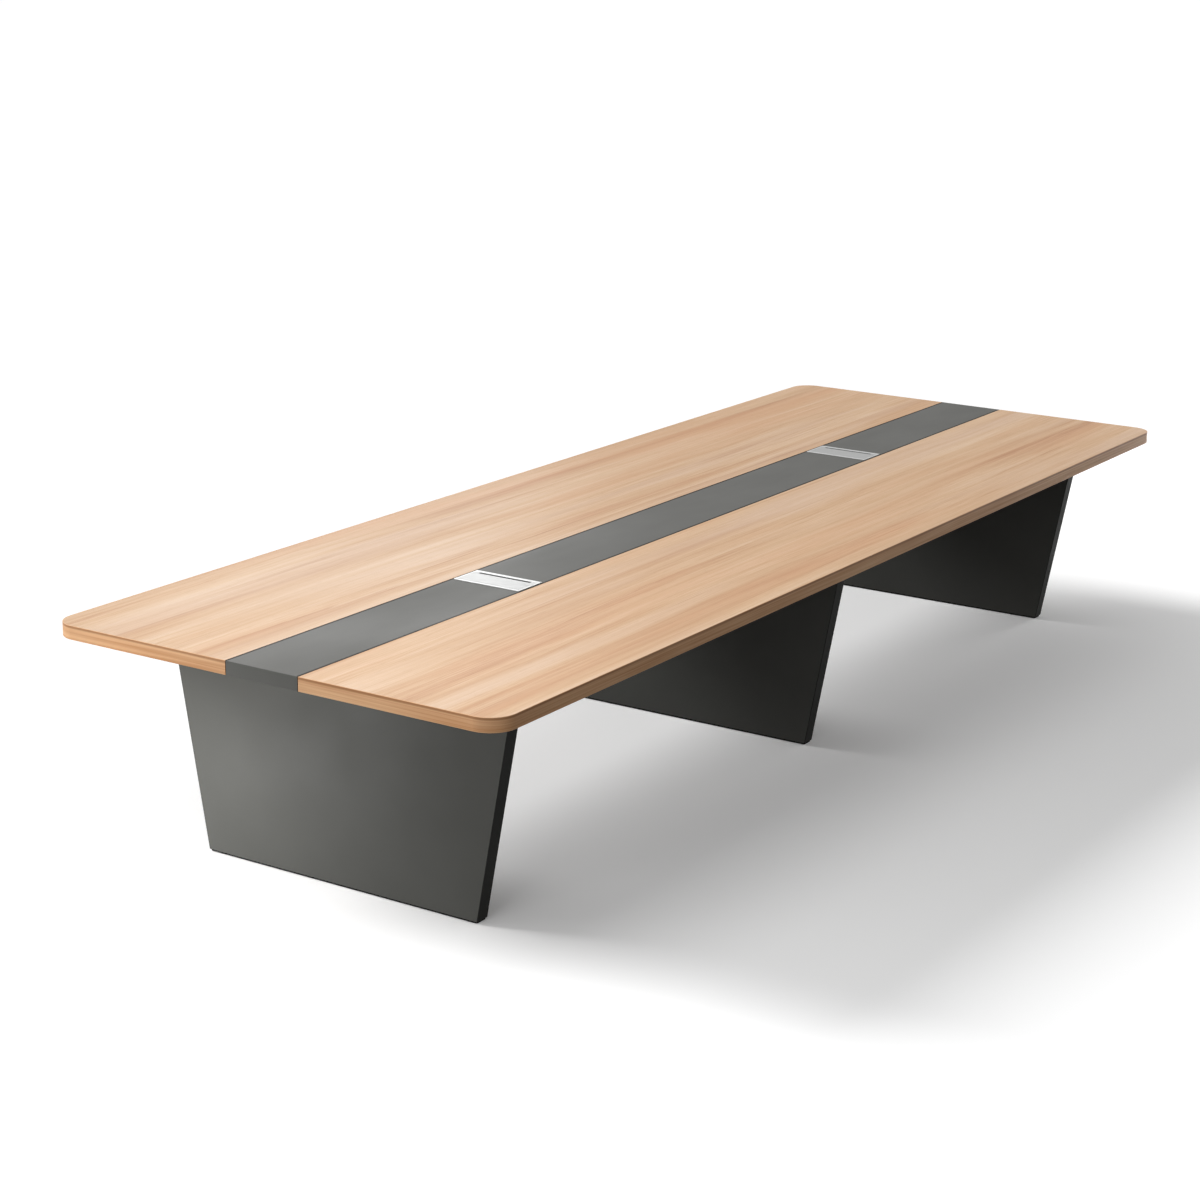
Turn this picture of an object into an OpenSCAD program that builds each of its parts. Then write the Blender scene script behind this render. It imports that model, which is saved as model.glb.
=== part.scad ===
// Conference table: wood-look leaves either side of a grey spine, flip-lid cable boxes
// let into the spine, a tucked-up steel underframe, and slab legs on levelling feet.
// X runs along the table, Y across it and Z up. The origin is on the floor under the middle.
// "near" is the -X end, "far" the +X end, "front" the -Y side and "rear" the +Y side.

/* [Table] */
// Overall length of the top
table_len = 4500; // [3800:50:5400]
// Overall width of the top
table_wid = 1600; // [1450:50:1800]
// Height of the top surface above the floor
table_h = 750; // [700:5:780]
// Plan radius of the four outer corners
corner_r = 80; // [30:5:140]

/* [Leaves] */
// Thickness of the top boards
board_t = 25; // [18:1:30]
// Thickness of the strips glued under the boards to thicken their edges
strip_t = 18; // [12:1:25]
// Width of those strips
strip_w = 70; // [60:5:100]
// Glue line between neighbouring strips
strip_joint = 0.4; // [0.2:0.1:0.8]
// Thickness of the band round the outer edge
edge_band_t = 2; // [1:0.5:3]
// Rounding of the outer band's arrises
edge_round = 1.5; // [0.5:0.25:1.75]
// Thickness of the band on the inner long edge of each leaf
inner_band_t = 1; // [0.5:0.5:2]

/* [Spine] */
// Width of the grey spine
spine_wid = 257; // [250:1:300]
// Open joint between the spine and each leaf
spine_gap = 2.5; // [0.5:0.5:4]
// Width of the battens under the spine's long edges
batten_w = 36; // [28:1:50]

/* [Legs] */
// Thickness of a leg slab
leg_t = 50; // [40:1:60]
// Width of a leg at its foot
leg_bot = 1000; // [850:10:1100]
// Width of a leg under the top
leg_top = 1250; // [1120:10:1350]
// Overhang of the top past the outer face of an end leg
leg_overhang = 320; // [250:5:420]
// Thickness of the band on the sloping edges
leg_band_t = 2; // [1:0.5:3]
// Rounding of that band's arrises
leg_band_round = 1; // [0.5:0.25:1.75]
// Height of the black base strip
base_h = 5; // [3:0.5:8]
// Set-back of the base strip from the leg's faces and edges
base_inset = 2; // [1:0.5:3]
// Plan radius of the base strip's corners
base_r = 8; // [4:1:12]
// Gap between the base strip and the floor
floor_gap = 2; // [1:0.5:4]

/* [Levelling feet] */
// Diameter of the nylon pad
pad_d = 36; // [30:1:38]
// Height of the pad's rim, below its cone
pad_rim_h = 3; // [2:0.25:3.5]
// Bevel round the pad's sole
pad_bevel = 0.75; // [0.5:0.25:1.5]
// Diameter of the pad's hub, under the insert
pad_hub_d = 22; // [18:1:26]
// Clearance round the pad in the base strip
pad_clear = 2; // [1:0.5:2.5]
// Diameter of the stud
stud_d = 8; // [6:1:10]
// Length of the stud above the pad
stud_len = 40; // [34:1:50]
// Distance of a foot from the end of the leg's base
foot_inset = 110; // [80:5:160]
// Outer diameter of the threaded insert
insert_d = 12; // [12:0.5:15]
// Length of the threaded insert inside the slab
insert_len = 25; // [20:1:28]
// Diameter of the insert's flange
insert_flange_d = 24; // [20:1:28]
// Thickness of the insert's flange
insert_flange_t = 1.5; // [1:0.25:2]
// Space left above the end of the stud
stud_tip_clear = 4; // [2:1:8]
// Radial running clearance of the stud in its insert
stud_clear = 0.05; // [0.02:0.01:0.1]

/* [Underframe] */
// Width of a rail
rail_w = 40; // [30:5:50]
// Height of a rail
rail_h = 40; // [30:5:50]
// Wall of the rails and cross bars
tube_wall = 2; // [1.5:0.5:3]
// Outer corner radius of the rails and cross bars
tube_r = 4; // [3.5:0.5:6]
// Distance of a rail from the inner edge of its leaf
rail_inset = 6; // [4:1:12]
// Height of a cross bar
bar_h = 20; // [15:1:25]
// Width of a cross bar
bar_w = 40; // [30:5:50]
// Distance of the cross bars from the middle of a cable box
bar_from_box = 100; // [95:5:150]
// Thickness of a rail's end plate
plate_t = 5; // [4:0.5:8]
// Width of a rail's end plate
plate_w = 80; // [76:2:100]
// Height of a rail's end plate
plate_h = 90; // [80:5:120]
// Distance of the end plate's holes from its edges
plate_edge = 10; // [9:0.5:11]
// Corner radius of the end plate
plate_r = 8; // [4:1:9]
// Drop of the end plate's top edge below the top
plate_drop = 1; // [0.5:0.5:3]
// Leg of an angle bracket
bracket_leg = 40; // [36:1:50]
// Thickness of an angle bracket
bracket_t = 3; // [2:0.5:4]
// Inner radius of an angle bracket's bend
bracket_bend = 3; // [2:0.5:4]
// Radius of an angle bracket's free corners
bracket_r = 10; // [5:1:10]
// Length of an angle bracket
bracket_len = 60; // [52:2:90]
// Distance of the angle brackets from the middle of the table
bracket_y = 400; // [320:10:480]
// Distance between a bracket's screws
bracket_pitch = 36; // [30:1:40]
// Margin of a cross strip past the brackets under it
strip_margin = 10; // [5:1:20]

/* [Fixings] */
// Shank diameter of an end plate's bolt
bolt_d = 8; // [6:1:8]
// Width across the flats of an end plate's bolt head
bolt_head_d = 13; // [12:0.5:14]
// Head height of an end plate's bolt
bolt_head_h = 4; // [3:0.5:5]
// Grip of a bolt in the leg
bolt_grip = 20; // [15:1:22]
// Shank diameter of a bracket's screw
screw_d = 4.5; // [4:0.5:5]
// Head diameter of a bracket's screw
screw_head_d = 8.5; // [8:0.5:9]
// Head height of a bracket's screw
screw_head_h = 2.5; // [2:0.25:3]
// Grip of a bracket's screw in wood
screw_grip = 11; // [8:1:11]
// Shank diameter of a rail's or cross bar's screw
rail_screw_d = 5; // [4:0.5:6]
// Head diameter of a rail's or cross bar's screw
rail_screw_head_d = 10; // [9:0.5:12]
// Head height of a rail's or cross bar's screw
rail_screw_head_h = 3; // [2:0.5:4]
// Grip of a rail's or cross bar's screw in wood
rail_screw_grip = 11; // [8:1:11]
// Distance of a rail's end screws from its ends
rail_screw_inset = 200; // [120:10:300]
// Radial clearance of a fixing in metal
hole_clear = 0.3; // [0.2:0.05:0.5]
// Radial clearance of a fixing in its pilot hole
pilot_clear = 0.05; // [0.03:0.01:0.1]

/* [Cable boxes] */
// Distance of each box from the middle of the table
box_from_centre = 1130; // [900:10:1300]
// Length of a bezel along the table
bezel_len = 126; // [116:1:150]
// Gap between a bezel's end and the leaf's side of the spine
bezel_end_gap = 4.5; // [3:0.5:8]
// Thickness of the bezel's flange, which stands on the spine
flange_t = 2; // [1.5:0.25:3]
// Bevel along the top edges of the flange and the lid
bezel_bevel = 0.5; // [0.25:0.05:0.75]
// Plan radius of the bezel's corners
bezel_r = 3; // [1:0.5:5]
// Lap of the flange over the cut ends of the spine
flange_lap = 7; // [6:0.5:10]
// Clearance of the bezel's skirt in the cut
cut_clear = 0.75; // [0.5:0.25:1.5]
// Wall of the bezel's skirt
skirt_t = 2; // [1.5:0.25:3]
// Depth of the skirt below the top
skirt_h = 18; // [16:1:22]
// Thickness of the bezel's end cheeks, which hold the hinge pins
cheek_t = 7; // [5:0.5:9]
// Width of the bezel's border beyond the brush
border_w = 17; // [16:0.5:18]
// Thickness of the lid plate
lid_t = 2.5; // [2:0.25:3]
// Radius of the hinge bead along the lid
bead_r = 3; // [2.75:0.25:3.5]
// Gap round the lid at its ends and free edge
lid_gap = 0.4; // [0.3:0.1:0.8]
// Gap between the hinge bead and the bezel
bead_gap = 0.6; // [0.5:0.1:1]
// Diameter of a hinge pin
pin_d = 3; // [2.5:0.25:3]
// Reach of a hinge pin into the lid
pin_reach = 10; // [8:1:15]
// Space left in the lid past the end of a hinge pin
pin_tip_clear = 2.5; // [1:0.5:4]
// Radial running clearance of a pin in the lid
pin_clear = 0.05; // [0.02:0.01:0.1]
// Length of the cable slot in the lid's free edge
slot_len = 196; // [160:2:200]
// Width of the cable slot
slot_w = 12; // [8:0.5:13]
// Diameter of a lid bumper
bumper_d = 6; // [5:0.5:8]
// Height of a lid bumper
bumper_h = 1; // [0.5:0.25:1.5]
// Thickness of the ledges that carry the bumpers
ledge_t = 3; // [2:0.25:3]
// Length of the ledges along the table
ledge_len = 15; // [12:0.5:16]
// Gap between a ledge and the end of the brush
ledge_gap = 2; // [1:0.5:3]

/* [Brush] */
// Width of the brush's backing bar
brush_back_w = 6; // [4:0.5:7]
// Height of the brush's backing bar
brush_back_h = 4; // [3:0.25:4.5]
// Strands in one row
brush_count = 80; // [76:1:100]
// Width of a strand
strand_w = 1; // [0.6:0.1:1.2]
// Thickness of a strand
strand_t = 0.8; // [0.5:0.1:1]
// Gap between the two rows of strands
row_gap = 0.6; // [0.4:0.1:0.8]
// Space between the strands' ends and the far side of the slot
strand_short = 1; // [0.5:0.25:2]

/* [Tub] */
// Sheet thickness of the tub
tub_t = 1.2; // [1:0.1:2]
// Depth of the tub
tub_h = 90; // [70:1:110]
// Drop of the tub's rim below the top surface
tub_drop = 6; // [5.5:0.5:8]
// Clearance between the tub and the bezel's skirt
tub_clear = 0.25; // [0.15:0.05:0.5]
// Outer corner radius of the tub
tub_r = 4; // [3:0.5:8]
// Bore of the cable outlet's grommet
outlet_d = 28; // [20:1:36]
// Wall of the grommet inside the hole in the tub's floor
grommet_wall = 4; // [3:0.5:6]
// Lip of the grommet over the floor
grommet_lip = 4; // [3:0.5:6]
// Thickness of each lip
grommet_lip_t = 2.5; // [2:0.25:4]
// Clearance between the grommet and the floor
grommet_clear = 0.1; // [0.05:0.05:0.2]
// Diameter of a tub screw
tub_screw_d = 3; // [2.5:0.5:4]
// Head diameter of a tub screw
tub_screw_head_d = 6; // [5:0.5:7]
// Head height of a tub screw
tub_screw_head_h = 1.6; // [1.2:0.1:2]
// Grip of a tub screw in the bezel's cheek
tub_screw_grip = 4; // [3:0.5:4.5]
// Distance of the tub screws from the middle of the box
tub_screw_x = 30; // [20:1:40]

/* [Hidden] */
$fn = 48;
half_len = table_len / 2;
half_wid = table_wid / 2;
edge_h = board_t + strip_t;
board_z = table_h - board_t;
under_z = table_h - edge_h;
cut_over = 1;

leaf_y = spine_wid / 2 + spine_gap;
board_y = leaf_y + inner_band_t;
inner_strip_y = board_y + strip_w;
outer_strip_y = half_wid - edge_band_t - strip_w;
cross_strip_w = leg_t + 2 * (bracket_leg + strip_margin);

slab_z = floor_gap + base_h;
leg_x = half_len - leg_overhang - leg_t / 2;
PLACES = [-1, 0, 1];
LEG_XS = [for (place = PLACES) place * leg_x];
lean = atan((leg_top - leg_bot) / 2 / (under_z - slab_z));
leg_band_run = leg_band_t / cos(lean);
foot_y = leg_bot / 2 - foot_inset;
pad_h = slab_z - insert_flange_t;
stud_hole_h = pad_h + stud_len + stud_tip_clear - slab_z;

rail_y = leaf_y + rail_inset;
rail_mid_y = rail_y + rail_w / 2;
rail_z = under_z - rail_h;
bay_x0 = leg_t / 2;
bay_x1 = leg_x - leg_t / 2;
rail_x0 = bay_x0 + plate_t;
rail_x1 = bay_x1 - plate_t;
RAIL_SCREW_XS = [rail_x0 + rail_screw_inset, (rail_x0 + rail_x1) / 2, rail_x1 - rail_screw_inset];
BAR_XS = [box_from_centre / 2, box_from_centre - bar_from_box, box_from_centre + bar_from_box];
bar_screw_y = spine_wid / 2 - batten_w / 2;
rail_pilot_d = rail_screw_d + 2 * pilot_clear;
plate_top = under_z - plate_drop;
PLATE_HOLES = [for (y = [-1, 1], z = [0, 1])
    [rail_mid_y + y * (plate_w / 2 - plate_edge),
     z == 0 ? plate_top - plate_edge : plate_top - plate_h + plate_edge]];
bracket_hole = bracket_t + (bracket_leg - bracket_t) / 2;

cut_half = bezel_len / 2 - flange_lap;
skirt_x = cut_half - cut_clear;
skirt_in_x = skirt_x - skirt_t;
bezel_y = spine_wid / 2 - bezel_end_gap;
cheek_y = bezel_y - cheek_t;
border_x = bezel_len / 2 - border_w;
lid_top = table_h + flange_t;
lid_z = lid_top - lid_t;
hinge_x = -(skirt_in_x - bead_gap - bead_r);
hinge_z = lid_top - bead_r;
pin_len = pin_reach + lid_gap + cheek_t;
lid_edge_x = border_x - lid_gap;
lid_y = cheek_y - lid_gap;
ledge_z = lid_z - bumper_h - ledge_t;
ledge_y = slot_len / 2 + ledge_gap;
brush_z = table_h - brush_back_h;
strand_len = slot_w + lid_gap - strand_short;
strand_pitch = slot_len / brush_count;
tub_x = skirt_in_x - tub_clear;
tub_y = cheek_y - tub_clear;
tub_top = table_h - tub_drop;
tub_z = tub_top - tub_h;
outlet_hole_r = outlet_d / 2 + grommet_wall;
tub_screw_z = (tub_top + table_h - skirt_h) / 2;
tub_screw_len = tub_t + tub_clear + tub_screw_grip;
near_cut_x0 = -box_from_centre - cut_half;
near_cut_x1 = -box_from_centre + cut_half;
far_cut_x0 = box_from_centre - cut_half;
far_cut_x1 = box_from_centre + cut_half;

wood = [0.87, 0.73, 0.58];
wood_edge = [0.80, 0.64, 0.48];
joint_brown = [0.27, 0.21, 0.17];
raw_board = [0.72, 0.62, 0.48];
spine_grey = [0.49, 0.49, 0.47];
leg_grey = [0.38, 0.38, 0.36];
black = [0.06, 0.06, 0.06];
steel_paint = [0.20, 0.20, 0.21];
zinc = [0.75, 0.76, 0.78];
silver = [0.88, 0.88, 0.88];

// A leaf is drawn on the +Y side and mirrored for the front one.
module on_side(side) {
    mirror([0, side < 0 ? 1 : 0, 0]) children();
}

// A bay is drawn on the +X side and mirrored for the near one.
module on_end(end) {
    mirror([end < 0 ? 1 : 0, 0, 0]) children();
}

// Rectangle with round corners, centred.
module round_rect(x, y, r) {
    square([x, y - 2 * r], center = true);
    square([x - 2 * r, y], center = true);
    for (sx = [-1, 1], sy = [-1, 1])
        translate([sx * (x / 2 - r), sy * (y / 2 - r)]) circle(r);
}

// Plan of a leaf, from its inner edge to its outer one, drawn in by the band.
module leaf_plan(inset) {
    mid_x = half_len - corner_r;
    mid_y = half_wid - corner_r;
    translate([-half_len + inset, board_y])
        square([2 * (half_len - inset), mid_y - board_y]);
    translate([-mid_x, board_y])
        square([2 * mid_x, half_wid - inset - board_y]);
    for (s = [-1, 1])
        translate([s * mid_x, mid_y]) circle(corner_r - inset);
}

// Edge band's section: x is outwards from its inner face, y is along its width w.
module band_section(t, w, r) {
    intersection() {
        square([t, w]);
        translate([0, w / 2]) round_rect(2 * t, w, min(r, t));
    }
}

// Pan-head screw: its head lies below z = 0 and its shank stands above.
module screw(d, len, head_d, head_h) {
    cylinder(d = d, h = len);
    translate([0, 0, -head_h]) cylinder(d = head_d, h = head_h);
}

// Hexagon-head bolt, placed the same way.
module bolt(d, len, head_flats, head_h) {
    cylinder(d = d, h = len);
    translate([0, 0, -head_h]) cylinder(d = head_flats / cos(30), h = head_h, $fn = 6);
}

// Faces of a leg that carry brackets: the end legs' outer faces, which show, stay bare.
function bracket_faces(place) = place == 0 ? [-1, 1] : [-place];

// Places of the screws that go up through the brackets into a leaf's cross strips.
module at_bracket_top_screws() {
    for (place = PLACES)
        for (face = bracket_faces(place), s = [-1, 1])
            translate([place * leg_x + face * (leg_t / 2 + bracket_hole), 0, under_z - bracket_t])
                translate([0, bracket_y + s * bracket_pitch / 2, 0]) children();
}

// Places of the screws that go through the brackets into one leg.
module at_bracket_leg_screws(place) {
    for (face = bracket_faces(place), side = [-1, 1], s = [-1, 1])
        translate([face * (leg_t / 2 + bracket_t), 0, under_z - bracket_hole])
            translate([0, side * bracket_y + s * bracket_pitch / 2, 0])
                rotate([0, -face * 90, 0]) children();
}

// Places of the bolts that hold one rail's end plates, at the legs at both ends of a bay.
module at_plate_bolts() {
    for (hole = PLATE_HOLES) {
        translate([rail_x0, hole[0], hole[1]]) rotate([0, -90, 0]) children();
        translate([rail_x1, hole[0], hole[1]]) rotate([0, 90, 0]) children();
    }
}

// Places of the screws up through a rail.
module at_rail_screws() {
    for (x = RAIL_SCREW_XS)
        translate([x, rail_mid_y, rail_z]) children();
}

// Places of the screws up through the cross bars of a bay.
module at_bar_screws() {
    for (x = BAR_XS, s = [-1, 1])
        translate([x, s * bar_screw_y, under_z - bar_h]) children();
}

module top_board(side) {
    color(wood) on_side(side)
        translate([0, 0, board_z]) linear_extrude(board_t) leaf_plan(edge_band_t);
}

// Part of a leaf's plan between two corners, as a strip under the board.
module edge_strip(x0, x1, y0, y1) {
    translate([0, 0, under_z]) linear_extrude(strip_t)
        intersection() {
            leaf_plan(edge_band_t);
            translate([x0, y0]) square([x1 - x0, y1 - y0]);
        }
}

module edge_strips(side) {
    y0 = inner_strip_y + strip_joint;
    y1 = outer_strip_y - strip_joint;
    end_x = half_len - edge_band_t - strip_w;
    color(raw_board) on_side(side)
        difference() {
            union() {
                edge_strip(-half_len, half_len, board_y, inner_strip_y);
                edge_strip(-half_len, half_len, outer_strip_y, half_wid);
                edge_strip(-half_len, -end_x, y0, y1);
                edge_strip(end_x, half_len, y0, y1);
                for (x = LEG_XS)
                    edge_strip(x - cross_strip_w / 2, x + cross_strip_w / 2, y0, y1);
            }
            at_bracket_top_screws()
                cylinder(d = screw_d + 2 * pilot_clear, h = bracket_t + screw_grip + pilot_clear);
            for (end = [-1, 1]) on_end(end)
                at_rail_screws()
                    cylinder(d = rail_pilot_d, h = rail_h + rail_screw_grip + pilot_clear);
        }
}

// The band round the outer edge of the top has the same section all along.
module edge_section() {
    band_section(edge_band_t, edge_h, edge_round);
}

module edge_band(side) {
    mid_x = half_len - corner_r;
    mid_y = half_wid - corner_r;
    color(wood_edge) on_side(side) translate([0, 0, under_z]) {
        translate([-mid_x, half_wid - edge_band_t, 0])
            rotate([90, 0, 90]) linear_extrude(2 * mid_x) edge_section();
        for (end = [-1, 1]) on_end(end) {
            translate([mid_x, mid_y, 0])
                rotate_extrude(angle = 90) translate([corner_r - edge_band_t, 0]) edge_section();
            translate([half_len - edge_band_t, mid_y, 0])
                rotate([90, 0, 0]) linear_extrude(mid_y - leaf_y) edge_section();
        }
    }
}

// Thin dark band on a leaf's inner edge, which shows as a dark line along the spine.
module inner_band(side) {
    color(joint_brown) on_side(side)
        translate([-half_len + edge_band_t, leaf_y, under_z])
            cube([2 * (half_len - edge_band_t), inner_band_t, edge_h]);
}

// A length of the spine between two places along the table.
module spine_board(x0, x1) {
    color(spine_grey)
        translate([x0, -spine_wid / 2, board_z]) cube([x1 - x0, spine_wid, board_t]);
}

module spine_end_band(end) {
    color(spine_grey) on_end(end)
        translate([half_len - edge_band_t, spine_wid / 2, under_z])
            rotate([90, 0, 0]) linear_extrude(spine_wid) edge_section();
}

// A pair of battens along the long edges of one length of the spine.
module batten_pair(x0, x1) {
    for (y = [-spine_wid / 2, spine_wid / 2 - batten_w])
        translate([x0, y, under_z]) cube([x1 - x0, batten_w, strip_t]);
}

module spine_battens() {
    end_y = spine_wid / 2 - batten_w - strip_joint;
    color(raw_board)
        difference() {
            union() {
                batten_pair(near_cut_x1, far_cut_x0);
                for (end = [-1, 1]) on_end(end) {
                    batten_pair(far_cut_x1, half_len - edge_band_t);
                    translate([half_len - edge_band_t - strip_w, -end_y, under_z])
                        cube([strip_w, 2 * end_y, strip_t]);
                }
            }
            for (end = [-1, 1]) on_end(end)
                at_bar_screws()
                    cylinder(d = rail_pilot_d, h = bar_h + rail_screw_grip + pilot_clear);
        }
}

// Face of a leg: x is across the table, y is height. inset draws in the sloping edges.
module leg_face(inset) {
    polygon([
        [-leg_bot / 2 + inset, slab_z], [leg_bot / 2 - inset, slab_z],
        [leg_top / 2 - inset, under_z], [-leg_top / 2 + inset, under_z]
    ]);
}

// Full thickness of a leg, over the face that inset leaves.
module leg_block(inset) {
    translate([-leg_t / 2, 0, 0]) rotate([90, 0, 90]) linear_extrude(leg_t) leg_face(inset);
}

// place is one of PLACES: -1 at the near leg, 0 at the centre one and 1 at the far one.
module leg_slab(place) {
    color(leg_grey) translate([place * leg_x, 0, 0])
        difference() {
            leg_block(leg_band_run);
            for (s = [-1, 1])
                translate([0, s * foot_y, slab_z - cut_over])
                    cylinder(d = insert_d + 2 * pilot_clear, h = stud_hole_h + cut_over);
            at_bracket_leg_screws(place)
                cylinder(d = screw_d + 2 * pilot_clear, h = bracket_t + screw_grip + pilot_clear);
            for (side = [-1, 1], end = [-1, 1])
                translate([-place * leg_x, 0, 0]) on_side(side) on_end(end)
                    at_plate_bolts()
                        cylinder(d = bolt_d + 2 * pilot_clear, h = plate_t + bolt_grip + pilot_clear);
        }
}

// A band runs up the slope past both ends of the slab and is trimmed flush with it.
module leg_edge_bands(place) {
    slope_len = (under_z - slab_z) / cos(lean);
    color(leg_grey) translate([place * leg_x, 0, 0])
        for (side = [-1, 1]) on_side(side)
            intersection() {
                leg_block(0);
                translate([leg_t / 2, leg_bot / 2 - leg_band_run, slab_z])
                    rotate([-lean, 0, 0]) rotate([0, 0, 90])
                        translate([0, 0, -leg_band_t]) linear_extrude(slope_len + 2 * leg_band_t)
                            band_section(leg_band_t, leg_t, leg_band_round);
            }
}

module base_strip(place) {
    color(black) translate([place * leg_x, 0, floor_gap])
        difference() {
            linear_extrude(base_h)
                round_rect(leg_t - 2 * base_inset, leg_bot - 2 * base_inset, base_r);
            for (s = [-1, 1])
                translate([0, s * foot_y, -cut_over])
                    cylinder(d = pad_d + 2 * pad_clear, h = base_h + 2 * cut_over);
        }
}

module foot_inserts() {
    color(zinc)
        for (x = LEG_XS, s = [-1, 1])
            translate([x, s * foot_y, slab_z])
                difference() {
                    union() {
                        translate([0, 0, -insert_flange_t])
                            cylinder(d = insert_flange_d, h = insert_flange_t);
                        cylinder(d = insert_d, h = insert_len);
                    }
                    translate([0, 0, -insert_flange_t - cut_over])
                        cylinder(d = stud_d + 2 * stud_clear,
                            h = insert_len + insert_flange_t + 2 * cut_over);
                }
}

// Turned pad with a bevelled sole, a rim and a low cone up to its hub, on a threaded stud.
module foot(place, side) {
    color(black) translate([place * leg_x, side * foot_y, 0]) {
        rotate_extrude() polygon([
            [0, 0], [pad_d / 2 - pad_bevel, 0], [pad_d / 2, pad_bevel],
            [pad_d / 2, pad_rim_h], [pad_hub_d / 2, pad_h], [0, pad_h]
        ]);
        translate([0, 0, pad_h]) cylinder(d = stud_d, h = stud_len);
    }
}

// Section of a steel tube with round corners, centred.
module tube_section(w, h) {
    difference() {
        round_rect(w, h, tube_r);
        round_rect(w - 2 * tube_wall, h - 2 * tube_wall, tube_r - tube_wall);
    }
}

module rail(end, side) {
    color(steel_paint) on_end(end) on_side(side)
        difference() {
            translate([rail_x0, rail_mid_y, rail_z + rail_h / 2])
                rotate([90, 0, 90]) linear_extrude(rail_x1 - rail_x0) tube_section(rail_w, rail_h);
            at_rail_screws() translate([0, 0, -cut_over])
                cylinder(d = rail_screw_d + 2 * hole_clear, h = rail_h + 2 * cut_over);
        }
}

module cross_bars(end) {
    color(steel_paint) on_end(end)
        difference() {
            for (x = BAR_XS)
                translate([x, rail_y, under_z - bar_h / 2])
                    rotate([90, 0, 0]) linear_extrude(2 * rail_y) tube_section(bar_w, bar_h);
            at_bar_screws() translate([0, 0, -cut_over])
                cylinder(d = rail_screw_d + 2 * hole_clear, h = bar_h + 2 * cut_over);
        }
}

module rail_plates(end) {
    color(steel_paint) on_end(end)
        for (side = [-1, 1]) on_side(side)
            difference() {
                for (x = [bay_x0, rail_x1])
                    translate([x, rail_mid_y, plate_top - plate_h / 2])
                        rotate([90, 0, 90]) linear_extrude(plate_t) round_rect(plate_w, plate_h, plate_r);
                at_plate_bolts() translate([0, 0, -cut_over])
                    cylinder(d = bolt_d + 2 * hole_clear, h = plate_t + 2 * cut_over);
            }
}

// One flange of a bracket, lying flat, from the end of its bend to its round free corners.
module bracket_flange() {
    from_x = bracket_bend + bracket_t;
    linear_extrude(bracket_t) intersection() {
        translate([from_x, -bracket_len / 2]) square([bracket_leg - from_x, bracket_len]);
        round_rect(2 * bracket_leg, bracket_len, bracket_r);
    }
}

// Pressed angle in the corner of a leg and the top: x is off the leg, z hangs down from the top.
module angle_bracket() {
    outer_r = bracket_bend + bracket_t;
    translate([0, 0, -bracket_t]) bracket_flange();
    rotate([0, 90, 0]) bracket_flange();
    translate([outer_r, bracket_len / 2, -outer_r]) rotate([90, 0, 0]) linear_extrude(bracket_len)
        intersection() {
            difference() {
                circle(outer_r);
                circle(bracket_bend);
            }
            translate([-outer_r, 0]) square(outer_r);
        }
}

module leg_brackets() {
    color(zinc)
        difference() {
            for (place = PLACES)
                for (face = bracket_faces(place), side = [-1, 1])
                    translate([place * leg_x, side * bracket_y, under_z]) on_end(face)
                        translate([leg_t / 2, 0, 0]) angle_bracket();
            for (side = [-1, 1]) on_side(side)
                at_bracket_top_screws() translate([0, 0, -cut_over])
                    cylinder(d = screw_d + 2 * hole_clear, h = bracket_t + 2 * cut_over);
            for (place = PLACES) translate([place * leg_x, 0, 0])
                at_bracket_leg_screws(place) translate([0, 0, -cut_over])
                    cylinder(d = screw_d + 2 * hole_clear, h = bracket_t + 2 * cut_over);
        }
}

module rail_plate_bolts() {
    color(zinc)
        for (end = [-1, 1], side = [-1, 1]) on_end(end) on_side(side)
            at_plate_bolts() bolt(bolt_d, plate_t + bolt_grip, bolt_head_d, bolt_head_h);
}

module bracket_screws() {
    color(zinc) {
        for (side = [-1, 1]) on_side(side)
            at_bracket_top_screws() screw(screw_d, bracket_t + screw_grip, screw_head_d, screw_head_h);
        for (place = PLACES) translate([place * leg_x, 0, 0])
            at_bracket_leg_screws(place) screw(screw_d, bracket_t + screw_grip, screw_head_d, screw_head_h);
    }
}

module rail_screws() {
    color(zinc)
        for (end = [-1, 1]) on_end(end) {
            for (side = [-1, 1]) on_side(side)
                at_rail_screws()
                    screw(rail_screw_d, rail_h + rail_screw_grip, rail_screw_head_d, rail_screw_head_h);
            at_bar_screws()
                screw(rail_screw_d, bar_h + rail_screw_grip, rail_screw_head_d, rail_screw_head_h);
        }
}

// Both boxes open the same way: hinge towards the near end, brush towards the far end.
module at_box(end) {
    translate([end * box_from_centre, 0, 0]) children();
}

// Places of the hinge pins' inner ends, each pointing out through its cheek.
module at_hinge_pins() {
    for (s = [-1, 1])
        translate([hinge_x, s * (lid_y - pin_reach), hinge_z]) rotate([-s * 90, 0, 0]) children();
}

// Places of the tub's screws on the inside of its end walls, pointing into the cheeks.
module at_tub_screws() {
    for (x = [-tub_screw_x, tub_screw_x], s = [-1, 1])
        translate([x, s * (tub_y - tub_t), tub_screw_z]) rotate([-s * 90, 0, 0]) children();
}

// Section of the flange across a width w, with its top edges bevelled.
module flange_section(w) {
    polygon([
        [-w / 2, 0], [w / 2, 0], [w / 2, flange_t - bezel_bevel], [w / 2 - bezel_bevel, flange_t],
        [-w / 2 + bezel_bevel, flange_t], [-w / 2, flange_t - bezel_bevel]
    ]);
}

// Flange of the bezel before its opening is cut: a round-cornered plate, bevelled both ways.
module bezel_flange() {
    translate([0, 0, table_h]) intersection() {
        linear_extrude(flange_t) round_rect(bezel_len, 2 * bezel_y, bezel_r);
        translate([0, bezel_y, 0]) rotate([90, 0, 0]) linear_extrude(2 * bezel_y) flange_section(bezel_len);
        translate([-bezel_len / 2, 0, 0])
            rotate([90, 0, 90]) linear_extrude(bezel_len) flange_section(2 * bezel_y);
    }
}

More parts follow.
